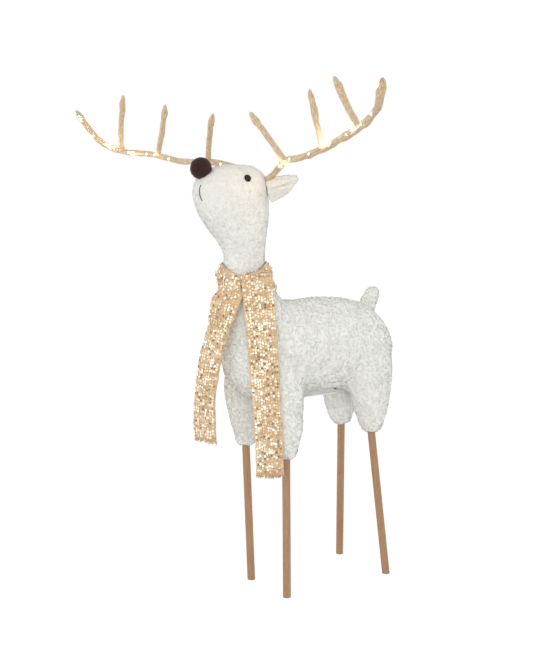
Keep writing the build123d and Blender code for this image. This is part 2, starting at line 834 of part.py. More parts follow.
parts["head_core"] = head_core
parts["head_cover"] = head_cover
parts["led_splice"] = splice
parts["battery_lead"] = lead - splice
parts["tail"] = tail_form() - body_outer
parts["scarf"] = scarf()

parts["battery_box"] = battery_box()
parts["battery_door"] = battery_door()
parts["battery_door_pin"] = hinge_pin()
parts["battery_door_screw"] = door_screw()
cells, springs, plates = cell_parts()
parts["battery_cells"] = Compound(cells)
parts["contact_springs"] = Compound(springs)
parts["contact_plates"] = Compound(plates)
parts["circuit_board"] = circuit_board()
parts["switch_body"] = switch_body()
parts["switch_slider"] = switch_slider()

os.makedirs("parts", exist_ok=True)
for name, shape in parts.items():
    export_step(shape, f"parts/{name}.step")
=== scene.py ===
import math

import bmesh
import bpy
import numpy as np
from mathutils import Matrix, Vector


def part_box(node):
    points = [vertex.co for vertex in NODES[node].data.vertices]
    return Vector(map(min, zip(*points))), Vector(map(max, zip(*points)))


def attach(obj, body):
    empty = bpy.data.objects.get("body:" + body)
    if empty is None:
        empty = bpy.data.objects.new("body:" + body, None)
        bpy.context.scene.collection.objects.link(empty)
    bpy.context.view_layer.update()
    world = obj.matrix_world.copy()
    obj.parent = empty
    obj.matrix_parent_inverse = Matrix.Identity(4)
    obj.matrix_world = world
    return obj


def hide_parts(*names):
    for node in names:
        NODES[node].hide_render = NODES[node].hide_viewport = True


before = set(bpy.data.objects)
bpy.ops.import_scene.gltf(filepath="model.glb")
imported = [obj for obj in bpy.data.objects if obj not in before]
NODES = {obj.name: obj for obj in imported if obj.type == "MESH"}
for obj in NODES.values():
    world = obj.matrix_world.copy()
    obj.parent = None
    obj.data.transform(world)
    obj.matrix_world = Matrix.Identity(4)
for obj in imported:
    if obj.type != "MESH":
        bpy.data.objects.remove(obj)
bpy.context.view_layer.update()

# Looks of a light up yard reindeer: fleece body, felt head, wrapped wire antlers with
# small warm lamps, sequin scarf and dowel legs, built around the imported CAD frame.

SIDES = {"left": 1, "right": -1}
MM = 0.001


# ---- Noise -------------------------------------------------------------------------------

def hashed(cell, seed):
    """A number from 0 to 1 for each integer lattice cell."""
    c = cell.astype(np.int64)
    h = (c[..., 0] * 73856093) ^ (c[..., 1] * 19349663) ^ (c[..., 2] * 83492791)
    h = (h ^ (seed * 2654435761)) & 0xFFFFFFFF
    h = ((h ^ (h >> 15)) * 2246822519) & 0xFFFFFFFF
    h = ((h ^ (h >> 13)) * 3266489917) & 0xFFFFFFFF
    return ((h ^ (h >> 16)) & 0xFFFFFF) / float(0xFFFFFF)


def smooth_noise(points, size, seed=0):
    """Value noise from -1 to 1 with features of the given size."""
    p = points / size
    base = np.floor(p)
    f = p - base
    f = f * f * (3 - 2 * f)
    total = np.zeros(len(points))
    for corner in np.ndindex(2, 2, 2):
        weight = np.ones(len(points))
        for axis in range(3):
            weight *= f[:, axis] if corner[axis] else 1 - f[:, axis]
        total += weight * hashed(base + np.array(corner), seed)
    return 2 * total - 1


def curls(points, size, seed=0):
    """Rounded bumps from 0 to 1 with narrow valleys between them, like curled pile."""
    p = points / size
    base = np.floor(p)
    nearest = np.full(len(points), 9.0)
    for step in np.ndindex(3, 3, 3):
        cell = base + np.array(step) - 1
        jitter = np.stack([hashed(cell, seed + 11 * k) for k in (1, 2, 3)], axis=1)
        gap = ((cell + jitter - p) ** 2).sum(axis=1)
        nearest = np.minimum(nearest, gap)
    return np.clip(1 - nearest, 0, 1)


# ---- Meshes ------------------------------------------------------------------------------

def unit(vectors):
    """Vectors scaled to a length of 1."""
    return vectors / np.linalg.norm(vectors, axis=-1, keepdims=True)


def run_along(line):
    """Distance of each point of a line from its first, measured along it."""
    return np.concatenate([[0], np.cumsum(np.linalg.norm(np.diff(line, axis=0), axis=1))])


def gaussian(offset, width):
    """1 at an offset of 0, falling smoothly to 0 a few widths away."""
    return np.exp(-((offset / width) ** 2))


def mesh_object(name, verts, faces):
    """An object from vertices and faces that all have the same number of corners."""
    verts, faces = np.asarray(verts, np.float32), np.asarray(faces, np.int32)
    mesh = bpy.data.meshes.new(name)
    mesh.vertices.add(len(verts))
    mesh.vertices.foreach_set("co", verts.ravel())
    mesh.loops.add(faces.size)
    mesh.loops.foreach_set("vertex_index", faces.ravel())
    mesh.polygons.add(len(faces))
    mesh.polygons.foreach_set("loop_start", np.arange(0, faces.size, faces.shape[1], dtype=np.int32))
    mesh.polygons.foreach_set("use_smooth", np.ones(len(faces), bool))
    mesh.update(calc_edges=True)
    mesh.validate()
    obj = bpy.data.objects.new(name, mesh)
    bpy.context.scene.collection.objects.link(obj)
    return obj


def read_verts(mesh):
    co = np.zeros(len(mesh.vertices) * 3, np.float32)
    mesh.vertices.foreach_get("co", co)
    return co.reshape(-1, 3).astype(float)


def read_normals(mesh):
    no = np.zeros(len(mesh.vertices) * 3, np.float32)
    mesh.vertices.foreach_get("normal", no)
    return no.reshape(-1, 3).astype(float)


def read_edges(mesh):
    edges = np.zeros(len(mesh.edges) * 2, np.int32)
    mesh.edges.foreach_get("vertices", edges)
    return edges.reshape(-1, 2)


def read_triangles(mesh):
    mesh.calc_loop_triangles()
    tri = np.zeros(len(mesh.loop_triangles) * 3, np.int32)
    mesh.loop_triangles.foreach_get("vertices", tri)
    return tri.reshape(-1, 3)


def write_verts(mesh, co):
    mesh.vertices.foreach_set("co", co.astype(np.float32).ravel())
    mesh.update()


def apply_modifiers(obj):
    graph = bpy.context.evaluated_depsgraph_get()
    mesh = bpy.data.meshes.new_from_object(obj.evaluated_get(graph))
    obj.modifiers.clear()
    obj.data = mesh
    mesh.polygons.foreach_set("use_smooth", np.ones(len(mesh.polygons), bool))
    return obj


def shell_of(name, nodes, voxel, smoothing, keep=None):
    """One skin around some CAD nodes, cut to where keep(points) is true, smoothed and divided."""
    verts, faces, base = [], [], 0
    for node in nodes:
        mesh = NODES[node].data
        verts.append(read_verts(mesh))
        faces.append(read_triangles(mesh) + base)
        base += len(mesh.vertices)
    obj = mesh_object(name, np.vstack(verts), np.vstack(faces))
    remesh = obj.modifiers.new("remesh", "REMESH")
    remesh.mode = "VOXEL"
    remesh.voxel_size = voxel
    apply_modifiers(obj)
    keep_largest(obj, keep)
    smooth = obj.modifiers.new("smooth", "SMOOTH")
    smooth.factor = 0.5
    smooth.iterations = smoothing
    divide = obj.modifiers.new("divide", "SUBSURF")
    divide.levels = divide.render_levels = 1
    return apply_modifiers(obj)


def soften(obj, weight, rounds):
    """Smooths a mesh where weight(points) is above 0, to blend the creases between its parts."""
    mesh = obj.data
    co = read_verts(mesh)
    count = len(co)
    a, b = read_edges(mesh).T
    degree = np.bincount(np.concatenate([a, b]), minlength=count).clip(1)[:, None]
    share = weight(co)[:, None]
    for _ in range(rounds):
        sums = [np.bincount(a, co[b, k], count) + np.bincount(b, co[a, k], count) for k in range(3)]
        co += share * (np.stack(sums, axis=1) / degree - co)
    write_verts(mesh, co)
    return obj


def keep_largest(obj, keep=None):
    """Drops loose inner shells, and then the faces whose centres fail the keep test."""
    mesh = obj.data
    edges = read_edges(mesh)
    label = np.arange(len(mesh.vertices))
    while True:  # spread the lowest label along the edges until nothing changes
        low = np.minimum(label[edges[:, 0]], label[edges[:, 1]])
        new = label.copy()
        np.minimum.at(new, edges[:, 0], low)
        np.minimum.at(new, edges[:, 1], low)
        new = new[new]
        if (new == label).all():
            break
        label = new
    shells, sizes = np.unique(label, return_counts=True)
    good = label == shells[sizes.argmax()]
    co, quads = read_verts(mesh), [list(p.vertices) for p in mesh.polygons]
    quads = np.array([q if len(q) == 4 else q + [q[-1]] for q in quads], np.int32)
    chosen = good[quads[:, 0]]
    if keep is not None:
        chosen &= keep(co[quads].mean(axis=1))
    quads = quads[chosen]
    used, index = np.unique(quads, return_inverse=True)
    kept = mesh_object(obj.name + "_kept", co[used], index.reshape(-1, 4))
    obj.data = kept.data
    bpy.data.objects.remove(kept)


def displace(obj, amount):
    """Moves each vertex along its normal by amount(points), in metres."""
    co, no = read_verts(obj.data), read_normals(obj.data)
    write_verts(obj.data, co + no * amount(co)[:, None])
    return obj


def write_uv(obj, name, uv):
    """A UV layer from one pair of u and v for each vertex."""
    layer = obj.data.uv_layers.new(name=name)
    index = np.zeros(len(obj.data.loops), np.int32)
    obj.data.loops.foreach_get("vertex_index", index)
    layer.data.foreach_set("uv", uv[index].astype(np.float32).ravel())


def many(name, rings, pattern, shade):
    """One mesh of many alike small pieces, from each piece's vertices, its faces and its shade."""
    count, per = len(shade), len(rings)
    faces = (np.arange(count)[:, None, None] * per + np.array(pattern)[None]).reshape(-1, 3)
    obj = mesh_object(name, np.stack(rings, axis=1).reshape(-1, 3), faces)
    layer = obj.data.attributes.new("shade", "FLOAT", "POINT")
    layer.data.foreach_set("value", np.repeat(shade, per).astype(np.float32))
    return obj


TUFT_SEGMENTS, TUFT_CORNERS = 2, 3
TUFT_SINK, TUFT_TAPER = 0.12, 0.25     # shares of its length below the surface, and of its width lost
TUFT_CURL, TUFT_BEND = 0.7, 0.35       # how far each segment turns sideways, and back to the surface


def pile(name, host, count, length, radius, seed, lean=0.8, droop=0.25, accept=None):
    """Short curled tufts of yarn that grow from a surface, as one mesh of small tubes."""
    rng = np.random.default_rng(seed)
    co, no, tri = read_verts(host.data), read_normals(host.data), read_triangles(host.data)
    a, b, c = co[tri[:, 0]], co[tri[:, 1]], co[tri[:, 2]]
    area = np.linalg.norm(np.cross(b - a, c - a), axis=1)
    pick = rng.choice(len(tri), count, p=area / area.sum())
    u, v = rng.random(count), rng.random(count)
    flip = u + v > 1
    u[flip], v[flip] = 1 - u[flip], 1 - v[flip]
    w = 1 - u - v
    root = a[pick] * w[:, None] + b[pick] * u[:, None] + c[pick] * v[:, None]
    normal = no[tri[pick, 0]] * w[:, None] + no[tri[pick, 1]] * u[:, None] + no[tri[pick, 2]] * v[:, None]
    normal /= np.linalg.norm(normal, axis=1)[:, None] + 1e-12
    if accept is not None:
        good = accept(root)
        root, normal = root[good], normal[good]
    n = len(root)
    side = unit(np.cross(normal, rng.normal(size=(n, 3))))
    size = length * rng.uniform(0.65, 1.25, n)
    thick = radius * rng.uniform(0.7, 1.2, n)
    heading = normal + side * (lean * rng.uniform(0.5, 1.3, n))[:, None]
    heading[:, 2] -= droop * 0.5
    across = np.cross(normal, side)
    upright = np.cross(unit(heading), across)
    centres = [root - normal * (TUFT_SINK * length)]
    for _ in range(TUFT_SEGMENTS):
        heading = unit(heading)
        centres.append(centres[-1] + heading * (size / TUFT_SEGMENTS)[:, None])
        heading = heading + side * TUFT_CURL + across * rng.normal(0, 0.6, n)[:, None] - normal * TUFT_BEND
        heading[:, 2] -= droop
    rings, pattern = [], []
    for level in range(TUFT_SEGMENTS):
        width = thick * (1 - TUFT_TAPER * level / TUFT_SEGMENTS)
        for k in range(TUFT_CORNERS):
            angle = 2 * math.pi * k / TUFT_CORNERS
            arm = math.cos(angle) * across + math.sin(angle) * upright
            rings.append(centres[level] + arm * width[:, None])
            p, q = level * TUFT_CORNERS + k, level * TUFT_CORNERS + (k + 1) % TUFT_CORNERS
            if level < TUFT_SEGMENTS - 1:
                pattern += [(p, q, q + TUFT_CORNERS), (p, q + TUFT_CORNERS, p + TUFT_CORNERS)]
            else:
                pattern.append((p, q, TUFT_CORNERS * TUFT_SEGMENTS))
    rings.append(centres[-1])
    pattern.append((2, 1, 0))
    obj = many(name, rings, pattern, rng.random(n))
    shading = unit(normal + rng.normal(0, 0.16, (n, 3)))
    obj.data.normals_split_custom_set_from_vertices(np.repeat(shading, len(rings), axis=0).tolist())
    return obj


def spline(points, count):
    """Evenly spaced points along a smooth curve near the given points, and its length."""
    p = np.asarray(points, float)
    knots = np.vstack([p[0], (p[1:-2] + p[2:-1]) / 2, p[-1]]) if len(p) > 3 else p
    line = []
    for i in range(len(p) - 2):
        start, middle, end = knots[i], p[i + 1], knots[i + 1]
        for t in np.linspace(0, 1, 24, endpoint=False):
            line.append((1 - t) ** 2 * start + 2 * t * (1 - t) * middle + t * t * end)
    line.append(p[-1])
    line = np.array(line)
    run = run_along(line[:, :3])
    at = np.linspace(0, run[-1], count)
    return np.stack([np.interp(at, run, line[:, k]) for k in range(p.shape[1])], axis=1), run[-1]


def tube_quads(rows, sides, closed=False):
    """Quads of a tube of rings of vertices; a closed one joins its last ring to its first."""
    i, j = np.meshgrid(np.arange(rows if closed else rows - 1), np.arange(sides), indexing="ij")
    i2, j2 = (i + 1) % rows, (j + 1) % sides
    corners = [i * sides + j, i * sides + j2, i2 * sides + j2, i2 * sides + j]
    return np.stack(corners, axis=-1).reshape(-1, 4)


def capped_tube(rows, sides, turned=False):
    """Triangles of a tube; its last two vertices are the middles of its ends. turned flips them."""
    order = ([0, 2, 1], [0, 3, 2], [1, 0, 2]) if turned else ([0, 1, 2], [0, 2, 3], [0, 1, 2])
    quads, k = tube_quads(rows, sides), np.arange(sides)
    after, last, middle = (k + 1) % sides, (rows - 1) * sides, np.full(sides, rows * sides)
    start = np.stack([after, k, middle], axis=1)
    stop = np.stack([last + k, last + after, middle + 1], axis=1)
    return np.vstack([quads[:, order[0]], quads[:, order[1]], start[:, order[2]], stop[:, order[2]]])


def join(name, objects):
    """Joins objects into the first and names it."""
    bpy.ops.object.select_all(action="DESELECT")
    for o in objects:
        o.select_set(True)
    bpy.context.view_layer.objects.active = objects[0]
    bpy.ops.object.join()
    objects[0].name = name
    objects[0].data.name = name
    return objects[0]


# ---- Materials ---------------------------------------------------------------------------

def rgb(r, g, b):
    """An sRGB colour given as 0-255, as a linear colour with alpha."""
    def linear(v):
        v /= 255
        return v / 12.92 if v <= 0.04045 else ((v + 0.055) / 1.055) ** 2.4
    return (linear(r), linear(g), linear(b), 1.0)


class Shader:
    """A Principled material with helpers for its procedural nodes."""

    def __init__(self, name, **sockets):
        self.mat = bpy.data.materials.new(name)
        self.mat.use_nodes = True
        self.nodes, self.links = self.mat.node_tree.nodes, self.mat.node_tree.links
        self.bsdf = self.nodes["Principled BSDF"]
        for key, value in sockets.items():
            self.bsdf.inputs[key.replace("_", " ")].default_value = value
        self.coords = self.nodes.new("ShaderNodeTexCoord").outputs["Object"]

    def stretched(self, scale, source=None):
        node = self.nodes.new("ShaderNodeMapping")
        node.inputs["Scale"].default_value = scale
        self.links.new(source or self.coords, node.inputs["Vector"])
        return node.outputs["Vector"]

    def noise(self, scale, detail=3.0, vector=None, rough=0.55):
        node = self.nodes.new("ShaderNodeTexNoise")
        node.inputs["Scale"].default_value = scale
        node.inputs["Detail"].default_value = detail
        node.inputs["Roughness"].default_value = rough
        self.links.new(vector or self.coords, node.inputs["Vector"])
        return node.outputs["Fac"]

    def cells(self, scale, vector=None, output="Distance"):
        node = self.nodes.new("ShaderNodeTexVoronoi")
        node.inputs["Scale"].default_value = scale
        self.links.new(vector or self.coords, node.inputs["Vector"])
        return node.outputs[output]

    def attribute(self, name):
        node = self.nodes.new("ShaderNodeAttribute")
        node.attribute_name = name
        return node.outputs["Fac"]

    def uv(self, name):
        node = self.nodes.new("ShaderNodeUVMap")
        node.uv_map = name
        return node.outputs["UV"]

    def ramp(self, source, *stops):
        node = self.nodes.new("ShaderNodeValToRGB")
        ramp = node.color_ramp
        while len(ramp.elements) < len(stops):
            ramp.elements.new(0.5)
        for element, (position, colour) in zip(ramp.elements, stops):
            element.position = position
            element.color = colour if len(colour) == 4 else (*colour, 1)
        self.links.new(source, node.inputs["Fac"])
        return node.outputs["Color"]

    def math(self, operation, *values):
        node = self.nodes.new("ShaderNodeMath")
        node.operation = operation
        for socket, value in zip(node.inputs, values):
            if isinstance(value, (int, float)):
                socket.default_value = value
            else:
                self.links.new(value, socket)
        return node.outputs["Value"]

    def mix(self, factor, a, b, blend="MIX"):
        node = self.nodes.new("ShaderNodeMix")
        node.data_type = "RGBA"
        node.blend_type = blend
        sockets = (node.inputs["Factor"], node.inputs[6], node.inputs[7])   # 6 and 7 are A and B in colour
        for socket, value in zip(sockets, (factor, a, b)):
            if hasattr(value, "is_linked"):
                self.links.new(value, socket)
            else:
                socket.default_value = value
        return node.outputs[2]

    def bump(self, height, distance, strength=1.0):
        node = self.nodes.new("ShaderNodeBump")
        node.inputs["Distance"].default_value = distance
        node.inputs["Strength"].default_value = strength
        self.links.new(height, node.inputs["Height"])
        self.links.new(node.outputs["Normal"], self.bsdf.inputs["Normal"])
        return self

    def colour(self, source):
        self.links.new(source, self.bsdf.inputs["Base Color"])
        return self

    def multiply(self, a, b):
        return self.mix(1.0, a, b, "MULTIPLY")

    def roughness(self, source, low, high):
        node = self.nodes.new("ShaderNodeMapRange")
        node.inputs["To Min"].default_value = low
        node.inputs["To Max"].default_value = high
        self.links.new(source, node.inputs["Value"])
        self.links.new(node.outputs["Result"], self.bsdf.inputs["Roughness"])
        return self


def pile_material(name, dark, light, sheen=0.15):
    """Yarn whose tufts differ a little in shade."""
    s = Shader(name, Roughness=0.92, Sheen_Weight=sheen, Sheen_Roughness=0.5, Specular_IOR_Level=0.15)
    tuft = s.ramp(s.attribute("shade"), (0.0, dark), (1.0, light))
    patch = s.ramp(s.noise(28, 2), (0.35, (0.955, 0.955, 0.945)), (0.7, (1, 1, 1)))
    s.colour(s.multiply(tuft, patch))
    s.bump(s.noise(1500, 2), 0.0001, 0.3)
    return s.mat


def cloth_material(name, dark, light, scale, depth, sheen=0.15):
    """Matte cloth with fine uneven fibres and a slow change of shade."""
    s = Shader(name, Roughness=0.93, Sheen_Weight=sheen, Sheen_Roughness=0.5, Specular_IOR_Level=0.15)
    fine = s.ramp(s.noise(scale, 4), (0.3, dark), (0.62, light))
    slow = s.ramp(s.noise(22, 3), (0.3, (0.95, 0.95, 0.94)), (0.7, (1, 1, 1)))
    s.colour(s.multiply(fine, slow))
    s.bump(s.math("ADD", s.noise(scale * 1.6, 4), s.cells(scale * 0.8)), depth, 0.6)
    return s.mat


def wood_material():
    """Bare softwood with its grain, broad bands and dark pores all along the dowel."""
    s = Shader("dowel_wood", Roughness=0.55, Specular_IOR_Level=0.35)
    grain = s.noise(520, 5, s.stretched((1, 1, 0.04)), 0.6)
    broad = s.noise(120, 3, s.stretched((1, 1, 0.06)))
    specks = s.noise(1500, 2, s.stretched((1, 1, 0.025)))
    pores = s.ramp(specks, (0.36, (0.72, 0.68, 0.64)), (0.46, (1, 1, 1)))
    half_grain = s.math("MULTIPLY_ADD", grain, 0.5, 0.5)
    base = s.ramp(half_grain, (0.3, rgb(140, 104, 75)), (0.75, rgb(174, 136, 104)))
    tone = s.ramp(broad, (0.3, (0.86, 0.84, 0.82)), (0.7, (1.04, 1.03, 1.02)))
    s.colour(s.multiply(s.multiply(base, tone), pores))
    s.roughness(grain, 0.48, 0.68)
    s.bump(grain, 0.0004, 0.5)
    return s.mat


def ribbon_material():
    """Champagne wound ribbon with streaks that run along the wire; its palest streaks are painted highlights.
    """
    s = Shader("gold_ribbon", Metallic=0.2, Sheen_Weight=0.25, Specular_IOR_Level=0.5)
    fibre = s.uv("fibre")
    streak = s.noise(1.0, 4, s.stretched((14, 3.2, 1), fibre), 0.65)
    broad = s.noise(1.0, 2, s.stretched((3.0, 1.1, 1), fibre))
    # The palest stop paints highlights on the crinkled ribbon; the darker stops are its own streaky colour.
    base = s.ramp(streak, (0.36, rgb(120, 86, 48)), (0.46, rgb(200, 166, 120)), (0.60, rgb(250, 232, 202)))
    tone = s.ramp(broad, (0.3, (0.88, 0.86, 0.83)), (0.65, (1.0, 1.0, 1.0)))
    s.colour(s.multiply(base, tone))
    s.roughness(streak, 0.34, 0.62)
    s.bump(streak, 0.0013, 0.9)
    return s.mat


def knit_material():
    """Champagne yarn: fine strands across small loops, with painted shade where the loops meet."""
    s = Shader("scarf_yarn", Roughness=0.7, Sheen_Weight=0.3, Specular_IOR_Level=0.35)
    yarn = s.uv("yarn")
    strand = s.noise(1.0, 4, s.stretched((9, 70, 1), yarn), 0.6)
    loops = s.cells(1.0, s.stretched((60, 260, 1), yarn))
    base = s.ramp(strand, (0.3, rgb(186, 150, 110)), (0.5, rgb(216, 188, 152)), (0.72, rgb(236, 216, 188)))
    # Painted shade: each small loop darkens toward its edges, where it meets the next.
    shade = s.ramp(loops, (0.1, (1, 1, 1)), (0.8, (0.86, 0.82, 0.76)))
    s.colour(s.multiply(base, shade))
    s.bump(s.math("ADD", strand, loops), 0.0008, 0.7)
    return s.mat


def sequin_material():
    """Champagne foil whose brightness is painted per disc: a few dark discs of painted shade, up to pale ones
    of painted highlight.
    """
    s = Shader("sequin_foil", Metallic=0.6, Coat_Weight=0.25)
    # Painted reflection: each disc's shade sets a brightness in place of the glint or shadow its tilt would
    # give.
    foil_and_painted_glint = s.ramp(
        s.attribute("shade"), (0.0, rgb(112, 86, 60)), (0.12, rgb(136, 108, 78)), (0.15, rgb(206, 176, 136)),
        (0.62, rgb(232, 208, 172)), (0.86, rgb(250, 238, 216)), (1.0, rgb(255, 252, 244)))
    s.colour(foil_and_painted_glint)
    s.roughness(s.noise(900, 2), 0.22, 0.42)
    return s.mat


def plain_material(name, low, high, scale, rough, depth=0.0001, **sockets):
    """Moulded or metal stock: two close shades, uneven gloss and a faint texture."""
    s = Shader(name, **sockets)
    grain = s.noise(scale, 4)
    s.colour(s.ramp(grain, (0.35, low), (0.65, high)))
    s.roughness(grain, *rough)
    s.bump(grain, depth, 0.3)
    return s.mat


def lamp_material():
    """Clear resin over a warm white chip."""
    s = Shader("lamp_resin", Roughness=0.15, Emission_Color=rgb(255, 214, 140), Emission_Strength=3.2)
    s.colour(s.ramp(s.noise(300, 2), (0.3, rgb(255, 228, 170)), (0.7, rgb(255, 244, 214))))
    return s.mat


FLEECE_DARK, FLEECE_LIGHT = rgb(230, 230, 224), rgb(241, 241, 236)
FELT_DARK, FELT_LIGHT = rgb(222, 221, 216), rgb(236, 235, 231)
fleece = cloth_material("fleece_ground", FLEECE_DARK, FLEECE_LIGHT, 420, 0.0004)
fleece_pile = pile_material("fleece_pile", rgb(229, 229, 224), rgb(238, 238, 234))
felt = cloth_material("head_felt", FELT_DARK, FELT_LIGHT, 900, 0.0002)
felt_pile = pile_material("felt_fibres", rgb(225, 225, 220), rgb(235, 235, 231))
wood = wood_material()
ribbon = ribbon_material()
knit = knit_material()
sequin = sequin_material()
flock = cloth_material("nose_flock", rgb(44, 26, 25), rgb(72, 48, 45), 900, 0.0005, 0.2)
flock_pile = pile_material("nose_fibres", rgb(44, 27, 26), rgb(84, 58, 54), 0.2)
thread = cloth_material("mouth_thread", rgb(48, 34, 28), rgb(78, 58, 48), 1500, 0.0003, 0.1)
glass_black = plain_material(
    "eye_black", rgb(8, 8, 9), rgb(14, 13, 14), 60, (0.10, 0.18), 0.00002, Specular_IOR_Level=0.3)
white_plastic = plain_material("white_plastic", rgb(214, 214, 210), rgb(226, 226, 222), 700, (0.42, 0.55))
black_plastic = plain_material("black_plastic", rgb(20, 20, 22), rgb(32, 32, 34), 700, (0.3, 0.5))
steel = plain_material(
    "plated_steel", rgb(168, 166, 160), rgb(196, 194, 190), 500, (0.25, 0.45), Metallic=1.0)
copper = plain_material(
    "lacquered_copper", rgb(176, 112, 70), rgb(206, 146, 100), 500, (0.25, 0.4), Metallic=1.0)
foil_cell = plain_material("cell_sleeve", rgb(46, 48, 54), rgb(70, 72, 80), 200, (0.2, 0.35), Coat_Weight=0.5)
board_green = plain_material("board_lacquer", rgb(22, 86, 44), rgb(34, 112, 60), 400, (0.3, 0.5))
cable_clear = plain_material("lead_sleeve", rgb(196, 194, 186), rgb(214, 212, 206), 500, (0.35, 0.5))
lamp = lamp_material()


def finish_piece(obj, material, nodes=()):
    """Gives a piece its material and slot, and hides the CAD nodes it stands for. Each rides on the root
    body.
    """
    obj.data.materials.clear()
    obj.data.materials.append(material)
    if nodes:
        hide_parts(*nodes)
    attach(obj, "root")
    return obj


# ---- Camera, stage and lamps -------------------------------------------------------------

FOCAL_PX, FRAME_PX = 1103.0, 650.0      # focal length and the frame's longer side, in pixels
SENSOR = 36.0                           # millimetres
AZIMUTH, ELEVATION, DISTANCE = math.radians(54.0), math.radians(7.5), 1.907
TARGET = Vector((0, -0.0625, 0.474))

camera = bpy.data.objects.new("camera", bpy.data.cameras.new("camera"))
bpy.context.scene.collection.objects.link(camera)
flat = math.cos(ELEVATION)
back = Vector((math.sin(AZIMUTH) * flat, -math.cos(AZIMUTH) * flat, math.sin(ELEVATION)))
camera.location = TARGET + back * DISTANCE
camera.rotation_euler = (-back).to_track_quat("-Z", "Y").to_euler()
camera.data.sensor_width = SENSOR
camera.data.lens = FOCAL_PX / FRAME_PX * SENSOR
bpy.context.scene.camera = camera
bpy.context.scene.view_settings.view_transform = "Standard"


def seen_directly(tree):
    """1 for camera, glossy and transmission rays, 0 for light that bounces."""
    path = tree.nodes.new("ShaderNodeLightPath")
    total = path.outputs["Is Camera Ray"]
    for name in ("Is Glossy Ray", "Is Transmission Ray"):
        node = tree.nodes.new("ShaderNodeMath")
        node.operation = "MAXIMUM"
        tree.links.new(total, node.inputs[0])
        tree.links.new(path.outputs[name], node.inputs[1])
        total = node.outputs["Value"]
    return total


def make_world(strength):
    """Even light of the given strength, in front of a white background."""
    world = bpy.data.worlds.new("studio")
    bpy.context.scene.world = world
    world.use_nodes = True
    tree = world.node_tree
    ambient = tree.nodes["Background"]
    ambient.inputs["Color"].default_value = (1, 1, 1, 1)
    ambient.inputs["Strength"].default_value = strength
    white = tree.nodes.new("ShaderNodeBackground")
    white.inputs["Color"].default_value = (1, 1, 1, 1)
    mix = tree.nodes.new("ShaderNodeMixShader")
    tree.links.new(seen_directly(tree), mix.inputs["Fac"])
    tree.links.new(ambient.outputs["Background"], mix.inputs[1])
    tree.links.new(white.outputs["Background"], mix.inputs[2])
    tree.links.new(mix.outputs["Shader"], tree.nodes["World Output"].inputs["Surface"])


FLOOR_COLOUR = (0.86, 0.86, 0.85, 1)
FLOOR_GLOW, FLOOR_GLOW_SHARE = 1.08, 0.86    # how white it looks; the rest takes the shadow


def make_floor(size):
    verts = [(-size, -size, 0), (size, -size, 0), (size, size, 0), (-size, size, 0)]
    floor = mesh_object("floor", verts, [(0, 1, 2, 3)])
    mat = bpy.data.materials.new("pale_floor")
    mat.use_nodes = True
    tree = mat.node_tree
    tree.nodes.remove(tree.nodes["Principled BSDF"])
    diffuse = tree.nodes.new("ShaderNodeBsdfDiffuse")
    diffuse.inputs["Color"].default_value = FLOOR_COLOUR
    glow = tree.nodes.new("ShaderNodeEmission")
    glow.inputs["Color"].default_value = (1, 1, 1, 1)
    glow.inputs["Strength"].default_value = FLOOR_GLOW
    share = tree.nodes.new("ShaderNodeMath")
    share.operation = "MULTIPLY"
    share.inputs[1].default_value = FLOOR_GLOW_SHARE
    tree.links.new(seen_directly(tree), share.inputs[0])
    mix = tree.nodes.new("ShaderNodeMixShader")
    tree.links.new(share.outputs["Value"], mix.inputs["Fac"])
    tree.links.new(diffuse.outputs["BSDF"], mix.inputs[1])
    tree.links.new(glow.outputs["Emission"], mix.inputs[2])
    tree.links.new(mix.outputs["Shader"], tree.nodes["Material Output"].inputs["Surface"])
    floor.data.materials.append(mat)


def add_light(name, kind, place, power, colour=(1, 1, 1)):
    data = bpy.data.lights.new(name, kind)
    data.energy, data.color = power, colour
    light = bpy.data.objects.new(name, data)
    bpy.context.scene.collection.objects.link(light)
    light.location = place
    return light


def area_light(name, place, aim, size, power):
    light = add_light(name, "AREA", place, power)
    light.data.size = size
    light.rotation_euler = (Vector(aim) - Vector(place)).to_track_quat("-Z", "Y").to_euler()


make_world(0.83)
make_floor(8.0)
area_light("key", place=(2.1, -1.9, 1.35), aim=(0, -0.05, 0.5), size=1.5, power=24)
area_light("fill", place=(-1.5, -2.2, 1.0), aim=(0, -0.05, 0.5), size=1.6, power=10)
area_light("rim", place=(1.2, 2.2, 1.2), aim=(0, 0, 0.5), size=1.6, power=9)


# ---- Fleece body, felt head, tail and ears ------------------------------------------------

LEGS = [f"{end}_{side}" for end in ("front", "rear") for side in SIDES]
HAUNCH_NODES = [f"haunch_{layer}_{leg}" for layer in ("cover", "filling") for leg in LEGS]
BOX_LOW, BOX_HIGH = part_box("battery_box")
HEAD_LOW, HEAD_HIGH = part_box("head_cover")
SEAM_Z = HEAD_LOW.z
SPLIT_Z = SEAM_Z - 0.027      # fleece meets felt under the scarf
CREASE_Z, CREASE_REACH = 0.385, 0.036    # where the haunches' creases blend into the body
FLEECE_TUFT = {"length": 0.0036, "radius": 0.00105, "lean": 2.1}


def outside_box(points, margin):
    """True where a point is clear of the battery box's pocket in the belly."""
    inside = np.ones(len(points), bool)
    for axis in range(2):
        inside &= points[:, axis] > BOX_LOW[axis] - margin
        inside &= points[:, axis] < BOX_HIGH[axis] + margin
    inside &= points[:, 2] < BOX_HIGH.z + margin
    return ~inside


def fleece_relief(points):
    """Height of curled pile over lumpy filling."""
    return (0.0014 * curls(points, 0.0088, 3) + 0.0006 * curls(points, 0.0040, 5)
            + 0.0013 * smooth_noise(points, 0.016, 7) + 0.0024 * smooth_noise(points, 0.042, 9) - 0.0020)


def felt_relief(points):
    """Height of felt over soft filling, lower and finer than the fleece's."""
    return (0.0006 * curls(points, 0.0050, 13) + 0.0006 * smooth_noise(points, 0.009, 15)
            + 0.0015 * smooth_noise(points, 0.030, 17) - 0.0010)


